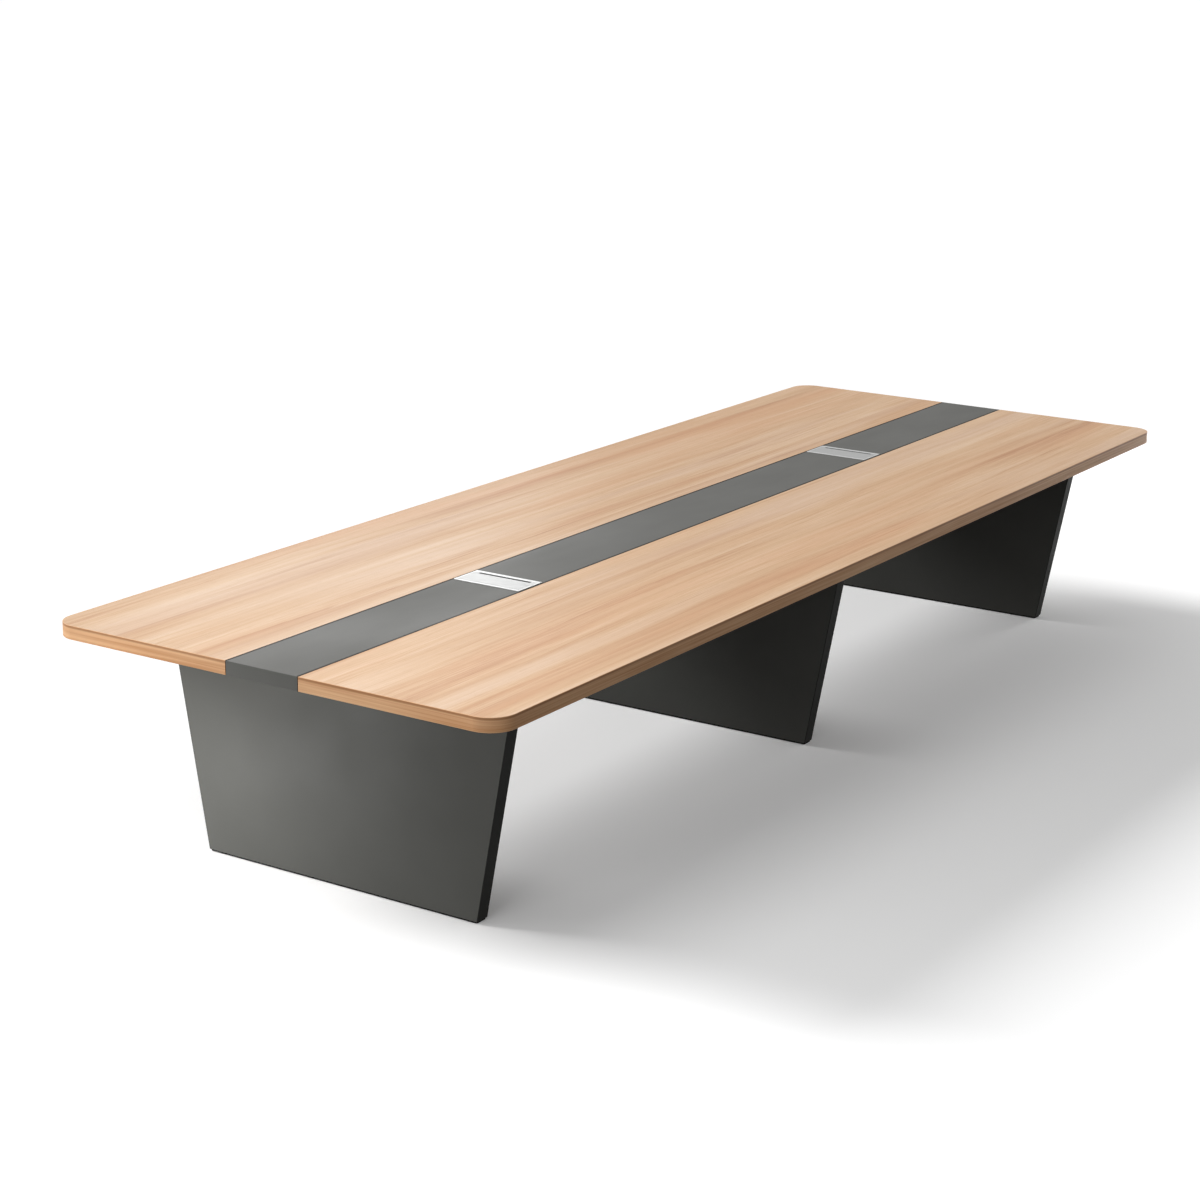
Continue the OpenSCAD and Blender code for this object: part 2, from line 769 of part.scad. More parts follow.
// Drop-in frame: a flange on the spine, a skirt in the cut, cheeks for the pins
// and two ledges under the lid's free corners.
module box_bezel(end) {
    color(silver) at_box(end)
        difference() {
            union() {
                bezel_flange();
                translate([-skirt_x, -bezel_y, table_h - skirt_h])
                    cube([2 * skirt_x, 2 * bezel_y, skirt_h]);
            }
            difference() {
                translate([-skirt_in_x, -cheek_y, table_h - skirt_h - cut_over])
                    cube([2 * skirt_in_x, 2 * cheek_y, skirt_h + cut_over]);
                for (s = [-1, 1])
                    translate([skirt_in_x - ledge_len, s > 0 ? ledge_y : -cheek_y, ledge_z])
                        cube([ledge_len, cheek_y - ledge_y, ledge_t]);
            }
            translate([-skirt_in_x, -cheek_y, table_h - cut_over])
                cube([skirt_in_x + border_x, 2 * cheek_y, flange_t + 2 * cut_over]);
            at_hinge_pins() cylinder(d = pin_d, h = pin_len + cut_over);
            at_tub_screws() cylinder(d = tub_screw_d + 2 * pilot_clear, h = tub_screw_len + pilot_clear);
        }
}

// Extruded plate with a round hinge bead along one edge and a cable slot in the other.
module box_lid(end) {
    color(silver) at_box(end)
        difference() {
            translate([0, lid_y, 0]) rotate([90, 0, 0]) linear_extrude(2 * lid_y) {
                translate([hinge_x, hinge_z]) circle(bead_r);
                polygon([
                    [hinge_x, lid_z], [lid_edge_x, lid_z], [lid_edge_x, lid_top - bezel_bevel],
                    [lid_edge_x - bezel_bevel, lid_top], [hinge_x, lid_top]
                ]);
            }
            translate([lid_edge_x - slot_w, -slot_len / 2, lid_z - cut_over])
                cube([slot_w + cut_over, slot_len, lid_t + 2 * cut_over]);
            at_hinge_pins() translate([0, 0, -pin_tip_clear])
                cylinder(d = pin_d + 2 * pin_clear, h = pin_tip_clear + pin_reach + cut_over);
        }
}

module hinge_pins(end) {
    color(zinc) at_box(end)
        at_hinge_pins() cylinder(d = pin_d, h = pin_len);
}

module lid_bumpers(end) {
    color(black) at_box(end)
        for (s = [-1, 1])
            translate([lid_edge_x - bumper_d / 2 - lid_gap, s * (ledge_y + lid_y) / 2, ledge_z + ledge_t])
                cylinder(d = bumper_d, h = bumper_h);
}

// One row of strands, as a comb that points towards the hinge. Each strand stands in the
// first half of its pitch in row 0 and in the second half in row 1, so the rows are staggered.
module strand_row(row) {
    tip = -strand_len;
    root = brush_back_w / 2;
    half_pitch = strand_pitch / 2;
    first = -slot_len / 2 + (half_pitch - strand_w) / 2 + row * half_pitch;
    polygon(concat(
        [[root, -slot_len / 2]],
        [for (i = [0 : brush_count - 1], p = [[0, 0], [tip, 0], [tip, strand_w], [0, strand_w]])
            [p[0], first + i * strand_pitch + p[1]]],
        [[root, slot_len / 2]]
    ));
}

module box_brush(end) {
    row_z = (brush_back_h - row_gap) / 2;
    color(black) at_box(end) translate([border_x, 0, brush_z]) {
        translate([0, -slot_len / 2, 0]) cube([brush_back_w, slot_len, brush_back_h]);
        translate([0, 0, row_z - strand_t]) linear_extrude(strand_t) strand_row(0);
        translate([0, 0, row_z + row_gap]) linear_extrude(strand_t) strand_row(1);
    }
}

module box_tub(end) {
    color(steel_paint) at_box(end)
        difference() {
            translate([0, 0, tub_z]) linear_extrude(tub_h) round_rect(2 * tub_x, 2 * tub_y, tub_r);
            translate([0, 0, tub_z + tub_t]) linear_extrude(tub_h)
                round_rect(2 * (tub_x - tub_t), 2 * (tub_y - tub_t), tub_r - tub_t);
            translate([0, 0, tub_z - cut_over]) cylinder(r = outlet_hole_r, h = tub_t + 2 * cut_over);
            at_tub_screws() translate([0, 0, -cut_over])
                cylinder(d = tub_screw_d + 2 * hole_clear, h = tub_t + 2 * cut_over);
        }
}

module tub_screws(end) {
    color(zinc) at_box(end)
        at_tub_screws()
            screw(tub_screw_d, tub_screw_len, tub_screw_head_d, tub_screw_head_h);
}

// Rubber ring snapped into the tub's floor, with a groove round the sheet.
module outlet_grommet(end) {
    groove_r = outlet_hole_r - grommet_clear;
    lip_r = outlet_hole_r + grommet_lip;
    bore_r = outlet_d / 2;
    groove_low = -grommet_clear;
    groove_high = tub_t + grommet_clear;
    low = groove_low - grommet_lip_t;
    high = groove_high + grommet_lip_t;
    color(black) at_box(end) translate([0, 0, tub_z])
        rotate_extrude() polygon([
            [bore_r, low], [lip_r, low], [lip_r, groove_low], [groove_r, groove_low],
            [groove_r, groove_high], [lip_r, groove_high], [lip_r, high], [bore_r, high]
        ]);
}

top_board(-1);  // front_top_board
top_board(1);  // rear_top_board
edge_strips(-1);  // front_edge_strips
edge_strips(1);  // rear_edge_strips
edge_band(-1);  // front_edge_band
edge_band(1);  // rear_edge_band
inner_band(-1);  // front_inner_band
inner_band(1);  // rear_inner_band
spine_board(-half_len + edge_band_t, near_cut_x0);  // near_spine_board
spine_board(near_cut_x1, far_cut_x0);  // middle_spine_board
spine_board(far_cut_x1, half_len - edge_band_t);  // far_spine_board
spine_battens();
spine_end_band(-1);  // near_spine_end_band
spine_end_band(1);  // far_spine_end_band
leg_slab(-1);  // near_leg_slab
leg_slab(0);  // centre_leg_slab
leg_slab(1);  // far_leg_slab
leg_edge_bands(-1);  // near_leg_edge_bands
leg_edge_bands(0);  // centre_leg_edge_bands
leg_edge_bands(1);  // far_leg_edge_bands
base_strip(-1);  // near_base_strip
base_strip(0);  // centre_base_strip
base_strip(1);  // far_base_strip
foot_inserts();
foot(-1, -1);  // near_front_foot
foot(-1, 1);  // near_rear_foot
foot(0, -1);  // centre_front_foot
foot(0, 1);  // centre_rear_foot
foot(1, -1);  // far_front_foot
foot(1, 1);  // far_rear_foot
rail(-1, -1);  // near_front_rail
rail(-1, 1);  // near_rear_rail
rail(1, -1);  // far_front_rail
rail(1, 1);  // far_rear_rail
cross_bars(-1);  // near_cross_bars
cross_bars(1);  // far_cross_bars
rail_plates(-1);  // near_rail_plates
rail_plates(1);  // far_rail_plates
leg_brackets();
rail_plate_bolts();
bracket_screws();
rail_screws();
box_bezel(-1);  // near_box_bezel
box_bezel(1);  // far_box_bezel
box_lid(-1);  // near_box_lid
box_lid(1);  // far_box_lid
hinge_pins(-1);  // near_hinge_pins
hinge_pins(1);  // far_hinge_pins
lid_bumpers(-1);  // near_lid_bumpers
lid_bumpers(1);  // far_lid_bumpers
box_brush(-1);  // near_box_brush
box_brush(1);  // far_box_brush
box_tub(-1);  // near_box_tub
box_tub(1);  // far_box_tub
tub_screws(-1);  // near_tub_screws
tub_screws(1);  // far_tub_screws
outlet_grommet(-1);  // near_outlet_grommet
outlet_grommet(1);  // far_outlet_grommet
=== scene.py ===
import math
import random

import bmesh
import bpy
from mathutils import Matrix, Vector


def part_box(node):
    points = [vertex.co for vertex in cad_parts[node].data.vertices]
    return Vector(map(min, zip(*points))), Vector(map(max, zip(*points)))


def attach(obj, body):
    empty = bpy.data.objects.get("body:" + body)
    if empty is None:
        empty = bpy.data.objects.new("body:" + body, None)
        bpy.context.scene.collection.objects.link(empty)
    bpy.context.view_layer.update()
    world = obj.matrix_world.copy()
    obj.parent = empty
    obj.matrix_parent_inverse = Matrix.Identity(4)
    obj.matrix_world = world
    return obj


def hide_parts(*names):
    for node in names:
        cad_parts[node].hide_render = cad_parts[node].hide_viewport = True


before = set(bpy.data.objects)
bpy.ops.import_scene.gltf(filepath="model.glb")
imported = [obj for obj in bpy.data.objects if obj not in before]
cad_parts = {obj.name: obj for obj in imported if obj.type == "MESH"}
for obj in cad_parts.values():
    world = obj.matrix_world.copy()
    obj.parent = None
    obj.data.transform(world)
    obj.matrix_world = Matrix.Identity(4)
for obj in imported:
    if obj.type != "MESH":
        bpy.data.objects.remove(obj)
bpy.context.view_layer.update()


# Leg slabs: three tapered boards, 50 mm thick, faced on both sides with matt dark grey melamine.
# They stand across the table and carry the top.

# The ranges that nearly all of a soft noise lies in, and its middle.
MOST_OF_NOISE = (0.3, 0.7)
MIDDLE_OF_NOISE = (0.35, 0.65)
MELAMINE_SPECULAR = 0.12
WIPED_SWING = 0.05


def tone(red, green, blue):
    """A colour given as it looks on screen, 0 to 255, as the linear colour that a shader takes."""
    def linear(value):
        share = value / 255
        return share / 12.92 if share <= 0.04045 else ((share + 0.055) / 1.055) ** 2.4
    return (linear(red), linear(green), linear(blue), 1.0)


def add_node(tree, kind, inputs, **settings):
    """A new shader node with its settings, each input linked to a socket or set to a value."""
    node = tree.nodes.new("ShaderNode" + kind)
    for name, value in settings.items():
        setattr(node, name, value)
    for socket, value in inputs.items():
        if isinstance(value, bpy.types.NodeSocket):
            tree.links.new(value, node.inputs[socket])
        else:
            node.inputs[socket].default_value = value
    return node


def start_material(name, **sockets):
    """A new material and its shader, with the values that are the same all over set on its sockets."""
    material = bpy.data.materials.new(name)
    material.use_nodes = True
    shader = material.node_tree.nodes["Principled BSDF"]
    for socket, value in sockets.items():
        shader.inputs[socket.replace("_", " ").replace("Ior", "IOR")].default_value = value
    return material, material.node_tree, shader


def calc(tree, operation, first, second=0.0, third=0.0):
    return add_node(tree, "Math", {0: first, 1: second, 2: third}, operation=operation).outputs[0]


def weigh(tree, first, second, share):
    """Two noises in one: the first with this share, the second with the rest."""
    rest = calc(tree, "MULTIPLY", second, 1.0 - share)
    return calc(tree, "MULTIPLY_ADD", first, share, rest)


def remap(tree, value, low, high, start=0.0, end=1.0):
    """Carries the range from low to high over to the range from start to end, and stays inside it."""
    inputs = {"Value": value, "From Min": low, "From Max": high, "To Min": start, "To Max": end}
    return add_node(tree, "MapRange", inputs).outputs[0]


def blend_colour(tree, share, first, second):
    """Runs from the first colour to the second, which are the mix node's sockets 6 and 7."""
    return add_node(tree, "Mix", {0: share, 6: first, 7: second}, data_type="RGBA").outputs[2]


def paint(tree, shader, colour):
    tree.links.new(colour, shader.inputs["Base Color"])


def roughen(tree, shader, noise, start, end, over=MOST_OF_NOISE):
    """Lets the roughness run from start to end over a range of a noise."""
    tree.links.new(remap(tree, noise, *over, start, end), shader.inputs["Roughness"])


def raise_surface(tree, shader, height, strength, depth):
    bump = add_node(tree, "Bump", {"Strength": strength, "Distance": depth, "Height": height})
    tree.links.new(bump.outputs[0], shader.inputs["Normal"])


def place_on(tree):
    """Coordinates on the piece, in metres, in the table's own frame."""
    return add_node(tree, "TexCoord", {}).outputs["Object"]


def grain_noise(tree, per_metre, detail=2.0, rough=0.5, at=(0.0, 0.0, 0.0), place=None):
    """Soft noise with a count of blotches per metre, the same all ways or for X, Y and Z in turn."""
    counts = per_metre if isinstance(per_metre, tuple) else (per_metre,) * 3
    spot = {"Vector": place or place_on(tree), "Scale": counts, "Location": at}
    stretched = add_node(tree, "Mapping", spot).outputs[0]
    inputs = {"Vector": stretched, "Scale": 1.0, "Detail": detail, "Roughness": rough}
    return add_node(tree, "TexNoise", inputs).outputs[0]


def grey_melamine(name, light, dark, roughness, specular=MELAMINE_SPECULAR):
    """Pressed decor paper: faint clouds, a fine speckle, and a leathery press-plate texture."""
    material, tree, shader = start_material(name, Specular_Ior_Level=specular)
    clouds = grain_noise(tree, per_metre=3.0, detail=3.0)
    speckle = grain_noise(tree, per_metre=900.0, detail=1.0)
    shade = weigh(tree, clouds, speckle, share=0.7)
    paint(tree, shader, blend_colour(tree, remap(tree, shade, *MIDDLE_OF_NOISE), dark, light))
    wiped = grain_noise(tree, per_metre=(2.0, 5.0, 5.0), detail=4.0)
    roughen(tree, shader, wiped, roughness - WIPED_SWING, roughness + WIPED_SWING)
    raise_surface(tree, shader, speckle, strength=0.25, depth=0.00006)
    return material


def dress(material, *nodes):
    """Gives CAD nodes a material in place of the one they came with."""
    for node in nodes:
        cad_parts[node].data.materials.clear()
        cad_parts[node].data.materials.append(material)


PLACES = ("near", "centre", "far")
LEG_LIGHT = tone(77, 77, 74)
LEG_DARK = tone(72, 72, 69)
LEG_ROUGHNESS = 0.5

leg_face = grey_melamine("leg_melamine", LEG_LIGHT, LEG_DARK, LEG_ROUGHNESS)
for place in PLACES:
    dress(leg_face, place + "_leg_slab")


# Leg edge bands: 2 mm plastic strip, glued on the slabs' sloping edges and trimmed flush.
# The strip is coloured darker than the faces as painted shade for the sloping sides, and shines less.

LEG_EDGE_SHADE_LIGHT = tone(38, 38, 36)
LEG_EDGE_SHADE_DARK = tone(33, 33, 31)
LEG_EDGE_SPECULAR = 0.06

leg_edge = grey_melamine("leg_edge_band", LEG_EDGE_SHADE_LIGHT, LEG_EDGE_SHADE_DARK, LEG_ROUGHNESS, LEG_EDGE_SPECULAR)
for place in PLACES:
    dress(leg_edge, place + "_leg_edge_bands")


# Base strips: black extruded plastic under each leg, set back 2 mm, so that the slab ends in a
# thin dark line. The extruder leaves fine lines along the strip.

BASE_DARK = tone(3, 3, 3)
BASE_LIGHT = tone(9, 9, 8)

base_black, tree, shader = start_material("base_strip_plastic", Specular_Ior_Level=0.04)
lines = grain_noise(tree, per_metre=(500.0, 4.0, 900.0))
paint(tree, shader, blend_colour(tree, lines, BASE_DARK, BASE_LIGHT))
roughen(tree, shader, lines, start=0.5, end=0.62)
raise_surface(tree, shader, lines, strength=0.3, depth=0.0001)
for place in PLACES:
    dress(base_black, place + "_base_strip")


# Threaded inserts: zinc-plated steel sleeves with a flange, pressed into the slabs from below.
# The plating is bright, with soft cloudy patches.

ZINC_DARK = tone(188, 190, 194)
ZINC_LIGHT = tone(214, 214, 211)
ZINC_SWING = 0.07
ZINC_ROUGHNESS = 0.34


def zinc_plate(name, roughness):
    material, tree, shader = start_material(name, Metallic=1.0)
    patches = grain_noise(tree, per_metre=160.0, detail=3.0)
    paint(tree, shader, blend_colour(tree, remap(tree, patches, *MIDDLE_OF_NOISE), ZINC_DARK, ZINC_LIGHT))
    roughen(tree, shader, patches, roughness - ZINC_SWING, roughness + ZINC_SWING)
    raise_surface(tree, shader, grain_noise(tree, per_metre=2500.0), strength=0.1, depth=0.00002)
    return material


zinc = zinc_plate("zinc_plate", ZINC_ROUGHNESS)
dress(zinc, "foot_inserts")


# Levelling feet: a moulded nylon pad with a fluted rim to grip, on a rolled M8 stud that screws
# into the insert. Each one turns down out of its leg to take up an uneven floor.

SIDES = ("front", "rear")
PAD_HEIGHT = 0.0055
PAD_RIM = 0.003
PAD_BEVEL = 0.00075
PAD_HUB_RADIUS = 0.011
FLUTES = 30
FLUTE_STEPS = 4
FLUTE_DEPTH = 0.0006
STUD_RADIUS = 0.004
THREAD_PITCH = 0.00125
THREAD_DEPTH = 0.0007
THREAD_STEPS = 20
# Turns that start below the stud, set so that its end cuts miss every point of the thread.
THREAD_LEAD = 1.975
THREAD_SPARE_TURNS = 3
# Each point of the thread's form: its share of the depth outwards and of the pitch upwards.
THREAD_FORM = ((0.0, 0.0), (0.0, 0.1), (1.0, 0.45), (1.0, 0.55), (0.0, 0.9), (0.0, 1.0))
SAME_POINT = 1e-6
NYLON_DARK = tone(20, 20, 20)
NYLON_LIGHT = tone(30, 30, 29)

nylon, tree, shader = start_material("foot_nylon", Specular_Ior_Level=0.4)
mottle = grain_noise(tree, per_metre=240.0)
paint(tree, shader, blend_colour(tree, mottle, NYLON_DARK, NYLON_LIGHT))
roughen(tree, shader, mottle, start=0.42, end=0.56)
raise_surface(tree, shader, mottle, strength=0.2, depth=0.0001)


def new_piece(name, form, body, material, node):
    """A finished bmesh as an object that rides on a body, takes a material and replaces a CAD node."""
    mesh = bpy.data.meshes.new(name)
    form.to_mesh(mesh)
    form.free()
    mesh.materials.append(material)
    piece = bpy.data.objects.new(name, mesh)
    bpy.context.scene.collection.objects.link(piece)
    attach(piece, body)
    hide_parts(node)


def turn_profile(form, points, steps, start_angle=0.0):
    """Spins a profile of (radius, height) points about Z, from start_angle, into a turned shape."""
    direction = Vector((math.cos(start_angle), math.sin(start_angle), 0.0))
    verts = [form.verts.new(direction * radius + Vector((0.0, 0.0, height))) for radius, height in points]
    edges = [form.edges.new(pair) for pair in zip(verts, verts[1:])]
    bmesh.ops.spin(form, geom=verts + edges, cent=(0, 0, 0), axis=(0, 0, 1), dvec=(0, 0, 0),
                   angle=2 * math.pi, steps=steps, use_merge=True)
    bmesh.ops.remove_doubles(form, verts=form.verts, dist=SAME_POINT)
    bmesh.ops.recalc_face_normals(form, faces=form.faces)


def foot_pad(radius):
    """A low cone on a straight rim, with flutes pressed into the rim."""
    form = bmesh.new()
    profile = [(0.0, 0.0), (radius - PAD_BEVEL, 0.0), (radius, PAD_BEVEL), (radius, PAD_RIM),
               (radius - PAD_BEVEL, PAD_RIM + PAD_BEVEL / 2), (PAD_HUB_RADIUS, PAD_HEIGHT), (0.0, PAD_HEIGHT)]
    turn_profile(form, profile, FLUTES * FLUTE_STEPS)
    for vert in form.verts:
        reach = vert.co.xy.length
        if reach > radius - PAD_BEVEL / 2:
            turn = math.atan2(vert.co.y, vert.co.x) * FLUTES
            vert.co.xy *= (reach - FLUTE_DEPTH * max(0.0, math.cos(turn))) / reach
    return form


def threaded_stud(low, high):
    """One thread form spun up a helix, then cut square and capped at both ends."""
    form = bmesh.new()
    root = STUD_RADIUS - THREAD_DEPTH
    start = low - THREAD_LEAD * THREAD_PITCH
    turns = math.ceil((high - low) / THREAD_PITCH) + THREAD_SPARE_TURNS
    verts = [form.verts.new((root + outwards * THREAD_DEPTH, 0.0, start + upwards * THREAD_PITCH))
             for outwards, upwards in THREAD_FORM]
    edges = [form.edges.new(pair) for pair in zip(verts, verts[1:])]
    bmesh.ops.spin(form, geom=verts + edges, cent=(0, 0, 0), axis=(0, 0, 1),
                   dvec=(0, 0, THREAD_PITCH / THREAD_STEPS), angle=2 * math.pi * turns,
                   steps=THREAD_STEPS * turns)
    bmesh.ops.remove_doubles(form, verts=form.verts, dist=SAME_POINT)
    for height, side in ((low, -1), (high, 1)):
        geom = form.verts[:] + form.edges[:] + form.faces[:]
        cut = bmesh.ops.bisect_plane(form, geom=geom, plane_co=(0, 0, height), plane_no=(0, 0, side),
                                     clear_outer=True)
        rim = [item for item in cut["geom_cut"] if isinstance(item, bmesh.types.BMEdge)]
        bmesh.ops.contextual_create(form, geom=rim)
    bmesh.ops.recalc_face_normals(form, faces=form.faces)
    return form


def pattern_of(form):
    """Keeps a finished bmesh as a pattern that can be stamped many times."""
    pattern = bpy.data.meshes.new("pattern")
    form.to_mesh(pattern)
    form.free()
    return pattern


def stamp(form, pattern, at):
    """Adds a copy of a pattern, carried to its place by a matrix, to a bmesh of such copies alone."""
    first = len(form.verts)
    form.from_mesh(pattern)
    form.verts.ensure_lookup_table()
    bmesh.ops.transform(form, matrix=at, verts=form.verts[first:])


feet = [f"{place}_{side}_foot" for place in PLACES for side in SIDES]
low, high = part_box(feet[0])
pad_pattern = pattern_of(foot_pad((high.x - low.x) / 2))
stud_pattern = pattern_of(threaded_stud(PAD_HEIGHT, high.z))
for foot in feet:
    low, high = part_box(foot)
    at = Matrix.Translation(((low.x + high.x) / 2, (low.y + high.y) / 2, 0.0))
    pad = bmesh.new()
    stamp(pad, pad_pattern, at)
    new_piece(foot + "_pad", pad, foot, nylon, foot)
    stud = bmesh.new()
    stamp(stud, stud_pattern, at)
    new_piece(foot + "_stud", stud, foot, zinc, foot)
bpy.data.meshes.remove(pad_pattern)
bpy.data.meshes.remove(stud_pattern)


# Underframe: square steel tube rails, cross bars and end plates, welded up and powder coated
# black. One pair of rails in each bay ties two legs together and carries the spine.

BAYS = ("near", "far")
FRAME_LIGHT = tone(50, 50, 51)
FRAME_DARK = tone(42, 42, 43)
FRAME_ROUGHNESS = 0.5
SMOOTHER_WHERE_CLEAN = 0.05
ROUGHER_WHERE_DUSTY = 0.06


def powder_coat(name, light, dark, roughness):
    """Baked powder paint: even colour with a fine orange-peel skin and a little dust."""
    material, tree, shader = start_material(name, Specular_Ior_Level=0.4)
    peel = grain_noise(tree, per_metre=420.0)
    dust = grain_noise(tree, per_metre=9.0, detail=4.0)
    paint(tree, shader, blend_colour(tree, remap(tree, dust, *MIDDLE_OF_NOISE), dark, light))
    roughen(tree, shader, dust, roughness - SMOOTHER_WHERE_CLEAN, roughness + ROUGHER_WHERE_DUSTY)
    raise_surface(tree, shader, peel, strength=0.35, depth=0.00012)
    return material


frame_paint = powder_coat("frame_powder_coat", FRAME_LIGHT, FRAME_DARK, FRAME_ROUGHNESS)
for bay in BAYS:
    dress(frame_paint, bay + "_front_rail", bay + "_rear_rail", bay + "_cross_bars", bay + "_rail_plates")


# Fixings of the underframe: flanged hexagon bolts through the end plates into the legs, and
# cross-recess pan-head screws up through rails and bars into the top. All are zinc plated.

# Tests on the corner points of a fixing: clear of its axis, on the rim of its head, at one height.
# Sizes in metres are rounded to six decimals.
CLEAR_OF_AXIS = 0.1
ON_RIM = 0.98
SAME_HEIGHT = 1e-7
TO_MICRONS = 6

# Shares of the head's radius and height, and for the tips of the shank's radius.
SCREW_STEPS = 12
SCREW_TIP = 2.0
PAN_SIDE_HEIGHT = 0.4
PAN_SHOULDER_RADIUS = 0.9
PAN_SHOULDER_HEIGHT = 0.78
PAN_TOP_RADIUS = 0.62
RECESS_ARM = 0.52
RECESS_HALF_WIDTH = 0.13
RECESS_DEPTH = 0.6
RECESS_TAPER = 0.7
BOLT_STEPS = 24
BOLT_TIP_RADIUS = 0.7
BOLT_TIP_BEVEL = 0.3
FLANGE_HEIGHT = 0.3
FLANGE_SIDE = 0.7
FLANGE_TOP_RADIUS = 0.95
HEXAGON_RADIUS = 0.88
HEXAGON_BEVEL = 0.08


def solids_of(node):
    """The corner points of each separate solid in a CAD node."""
    form = bmesh.new()
    form.from_mesh(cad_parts[node].data)
    bmesh.ops.remove_doubles(form, verts=form.verts, dist=SAME_POINT)
    seen = set()
    clouds = []
    for start in form.verts:
        if start in seen:
            continue
        seen.add(start)
        found = [start]
        for vert in found:
            joined = [edge.other_vert(vert) for edge in vert.link_edges]
            found.extend(other for other in joined if other not in seen)
            seen.update(joined)
        clouds.append([vert.co.copy() for vert in found])
    form.free()
    return clouds


def fixing_from(cloud):
    """Place of one fixing, with Z from its head to its tip, and the sizes of its head and shank."""
    low = Vector([min(values) for values in zip(*cloud)])
    high = Vector([max(values) for values in zip(*cloud)])
    size = high - low
    centre = (low + high) / 2
    along = max(range(3), key=lambda number: size[number])
    axis = Vector([1.0 if number == along else 0.0 for number in range(3)])
    reach = [((point - centre) - (point - centre).project(axis)).length for point in cloud]
    head_radius = max(reach)
    shank_radius = min(length for length in reach if length > CLEAR_OF_AXIS * head_radius)
    head_at_low = cloud[reach.index(head_radius)][along] < centre[along]
    sign = 1.0 if head_at_low else -1.0
    end = low[along] if head_at_low else high[along]
    head_height = max(abs(point[along] - end) for point, length in zip(cloud, reach)
                      if length > ON_RIM * head_radius)
    seat = centre.copy()
    seat[along] = end + sign * head_height
    turn = (axis * sign).to_track_quat("Z", "Y").to_matrix().to_4x4()
    return Matrix.Translation(seat) @ turn, head_radius, head_height, shank_radius, size[along] - head_height


def ring_at(form, height):
    return [vert for vert in form.verts if abs(vert.co.z - height) < SAME_HEIGHT]


def sink_ring(form, height, depth, shrink):
    """Carries the open ring at a height down or up by depth, drawn in by shrink, and closes it."""
    ring = set(ring_at(form, height))
    rim = [edge for edge in form.edges if edge.is_boundary and set(edge.verts) <= ring]
    made = bmesh.ops.extrude_edge_only(form, edges=rim)["geom"]
    moved = [item for item in made if isinstance(item, bmesh.types.BMVert)]
    bmesh.ops.scale(form, vec=(shrink, shrink, 1.0), verts=moved)
    bmesh.ops.translate(form, vec=(0.0, 0.0, depth), verts=moved)
    lip = [item for item in made if isinstance(item, bmesh.types.BMEdge)]
    bmesh.ops.contextual_create(form, geom=lip)
    return lip


def cross_screw(head_radius, head_height, shank_radius, length):
    """Pan-head screw, head below Z = 0, with a cross recess sunk from the middle of its dome."""
    form = bmesh.new()
    half_step = math.pi / SCREW_STEPS
    profile = [(0.0, length), (shank_radius, length - SCREW_TIP * shank_radius), (shank_radius, 0.0),
               (head_radius, 0.0), (head_radius, -PAN_SIDE_HEIGHT * head_height),
               (PAN_SHOULDER_RADIUS * head_radius, -PAN_SHOULDER_HEIGHT * head_height),
               (PAN_TOP_RADIUS * head_radius, -head_height)]
    turn_profile(form, profile, SCREW_STEPS, -half_step)
    arm = RECESS_ARM * head_radius
    half_width = RECESS_HALF_WIDTH * head_radius
    arm_corners = ((arm, -half_width), (arm, half_width), (half_width, half_width))
    for vert in ring_at(form, -head_height):
        step = round((math.atan2(vert.co.y, vert.co.x) + half_step) / (2 * half_step)) % SCREW_STEPS
        quarter, corner = divmod(step, len(arm_corners))
        turn = Matrix.Rotation(quarter * math.pi / 2, 3, "Z")
        vert.co = turn @ Vector((*arm_corners[corner], -head_height))
    sink_ring(form, -head_height, RECESS_DEPTH * head_height, RECESS_TAPER)
    bmesh.ops.recalc_face_normals(form, faces=form.faces)
    return form


def flange_bolt(head_radius, head_height, shank_radius, length):
    """Flanged hexagon bolt, head below Z = 0, with the corners of its hexagon bevelled."""
    form = bmesh.new()
    flange = FLANGE_HEIGHT * head_height
    profile = [(0.0, length), (BOLT_TIP_RADIUS * shank_radius, length),
               (shank_radius, length - BOLT_TIP_BEVEL * shank_radius), (shank_radius, 0.0),
               (head_radius, 0.0), (head_radius, -FLANGE_SIDE * flange),
               (FLANGE_TOP_RADIUS * head_radius, -flange)]
    turn_profile(form, profile, BOLT_STEPS)
    face = math.radians(60)
    for vert in ring_at(form, -flange):
        angle = math.atan2(vert.co.y, vert.co.x) % face - face / 2
        reach = HEXAGON_RADIUS * head_radius * math.cos(face / 2) / math.cos(angle)
        vert.co.xy = vert.co.xy.normalized() * reach
    lip = sink_ring(form, -flange, depth=flange - head_height, shrink=1.0)
    bmesh.ops.bevel(form, geom=lip, offset=HEXAGON_BEVEL * head_radius, segments=1, profile=0.5,
                    affect="EDGES", material=-1)
    bmesh.ops.recalc_face_normals(form, faces=form.faces)
    return form


def detail_fixings(node, make):
    """Replaces a CAD node of plain fixings by detailed ones, each where the node has it and of its size."""
    form = bmesh.new()
    patterns = {}
    for cloud in solids_of(node):
        at, *sizes = fixing_from(cloud)
        kind = tuple(round(size, TO_MICRONS) for size in sizes)
        if kind not in patterns:
            patterns[kind] = pattern_of(make(*kind))
        stamp(form, patterns[kind], at)
    for pattern in patterns.values():
        bpy.data.meshes.remove(pattern)
    new_piece(node + "_detail", form, "table", zinc, node)


detail_fixings("rail_plate_bolts", flange_bolt)
detail_fixings("rail_screws", cross_screw)


# Edge strips and spine battens: raw particle board glued under the boards, which thickens the
# edges of the top to 43 mm and gives the screws something to bite in. Chips show on every face.

